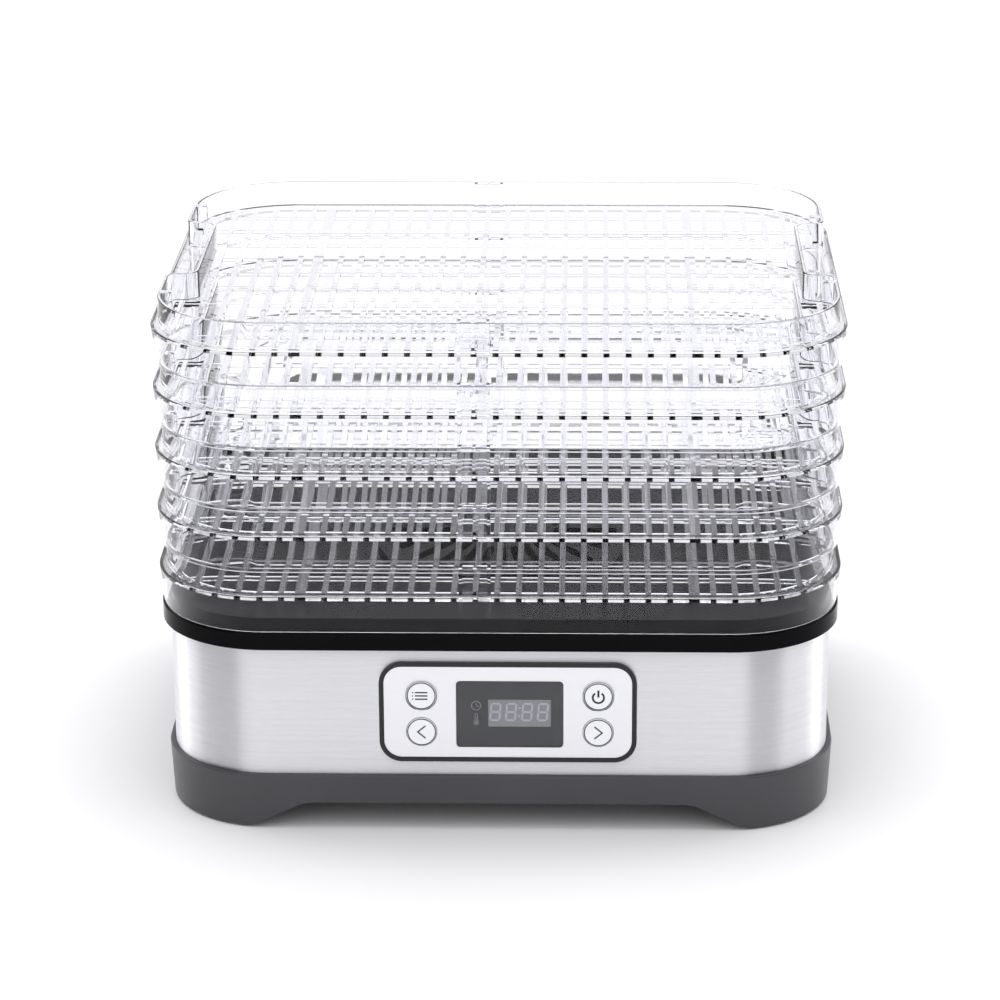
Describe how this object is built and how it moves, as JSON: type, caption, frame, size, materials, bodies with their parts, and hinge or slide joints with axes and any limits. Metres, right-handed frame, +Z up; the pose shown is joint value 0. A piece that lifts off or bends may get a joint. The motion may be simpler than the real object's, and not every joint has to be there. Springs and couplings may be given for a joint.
{
  "type": "food dehydrator",
  "caption": "Countertop food dehydrator: stacking clear slotted trays over a brushed-steel heater base with a fan, a front display panel and push buttons.",
  "frame": {"origin": "on the surface it stands on, under the middle of the trays", "axes": "+X to the right seen from the front, -Y towards the front panel, +Z up"},
  "size_m": [0.3328, 0.2698, 0.2568],
  "materials": {
    "base_black": "gloss charcoal ABS",
    "ring_black": "high-gloss black ABS",
    "steel": "horizontally brushed stainless steel",
    "clear_tray": "clear food-safe plastic",
    "rubber": "soft black rubber",
    "bezel_black": "high-gloss black",
    "panel_silver": "fine horizontal brushing, satin",
    "lens_grey": "smoked glossy window",
    "led_face": "black display body",
    "button_silver": "silver-painted plastic",
    "board_green": "solder-masked circuit board",
    "dark_plastic": "matt black plastic",
    "inner_grey": "matt grey heat-resistant plastic",
    "zinc_screw": "zinc-plated steel",
    "motor_steel": "pressed can, satin",
    "bearing_bronze": "sintered bronze",
    "stator_core": "laminated core",
    "shaft_steel": "ground steel",
    "fan_white": "moulded fan plastic",
    "mica": "pressed mica sheet",
    "heating_wire": "resistance wire",
    "ceramic": "ceramic and steel"
  },
  "bodies": {
    "base": {"base_pan": "base_black", "foot_pads": "rubber", "steel_shell": "steel", "top_housing": "ring_black", "housing_screws": "zinc_screw", "intake_grille": "dark_plastic", "outlet_grille": "ring_black", "fan_duct": "inner_grey", "duct_screws": "zinc_screw", "motor_bracket": "motor_steel", "bracket_screws": "zinc_screw", "motor_housing": "motor_steel", "motor_bearings": "bearing_bronze", "motor_stator": "stator_core", "heater_frame": "mica", "heater_coil": "heating_wire", "thermal_cutoff": "ceramic", "temperature_sensor": "ceramic", "power_board": "board_green", "power_board_screws": "zinc_screw", "power_components": "dark_plastic", "cable_gland": "dark_plastic", "gland_nut": "dark_plastic", "panel_bezel": "bezel_black", "panel_plate": "panel_silver", "display_lens": "lens_grey", "control_board": "board_green", "control_board_screws": "zinc_screw", "push_switches": "dark_plastic", "led_module": "led_face"},
    "fan": {"motor_rotor": "stator_core", "motor_shaft": "shaft_steel", "fan_impeller": "fan_white"},
    "tray_1": {"tray_1": "clear_tray", "tray_1_grid": "clear_tray"},
    "tray_2": {"tray_2": "clear_tray", "tray_2_grid": "clear_tray"},
    "tray_3": {"tray_3": "clear_tray", "tray_3_grid": "clear_tray"},
    "tray_4": {"tray_4": "clear_tray", "tray_4_grid": "clear_tray"},
    "tray_5": {"tray_5": "clear_tray", "tray_5_grid": "clear_tray"},
    "button_menu": {"button_menu": "button_silver"},
    "button_down": {"button_down": "button_silver"},
    "button_power": {"button_power": "button_silver"},
    "button_up": {"button_up": "button_silver"}
  },
  "joints": [
    {"name": "fan_spin", "type": "hinge", "parent": "base", "child": "fan", "pos_m": [0, 0, 0.063], "axis": [0, 0, 1], "continuous": true},
    {"name": "tray_1_lift", "type": "slide", "parent": "base", "child": "tray_1", "axis": [0, 0, 1], "range_m": [0, 0.045]},
    {"name": "tray_2_lift", "type": "slide", "parent": "tray_1", "child": "tray_2", "axis": [0, 0, 1], "range_m": [0, 0.045]},
    {"name": "tray_3_lift", "type": "slide", "parent": "tray_2", "child": "tray_3", "axis": [0, 0, 1], "range_m": [0, 0.045]},
    {"name": "tray_4_lift", "type": "slide", "parent": "tray_3", "child": "tray_4", "axis": [0, 0, 1], "range_m": [0, 0.045]},
    {"name": "tray_5_lift", "type": "slide", "parent": "tray_4", "child": "tray_5", "axis": [0, 0, 1], "range_m": [0, 0.045]},
    {"name": "menu_press", "type": "slide", "parent": "base", "child": "button_menu", "axis": [0, 1, 0], "range_m": [0, 0.0008], "stiffness_N_per_m": 900, "springref_m": -0.0012},
    {"name": "down_press", "type": "slide", "parent": "base", "child": "button_down", "axis": [0, 1, 0], "range_m": [0, 0.0008], "stiffness_N_per_m": 900, "springref_m": -0.0012},
    {"name": "power_press", "type": "slide", "parent": "base", "child": "button_power", "axis": [0, 1, 0], "range_m": [0, 0.0008], "stiffness_N_per_m": 900, "springref_m": -0.0012},
    {"name": "up_press", "type": "slide", "parent": "base", "child": "button_up", "axis": [0, 1, 0], "range_m": [0, 0.0008], "stiffness_N_per_m": 900, "springref_m": -0.0012}
  ]
}
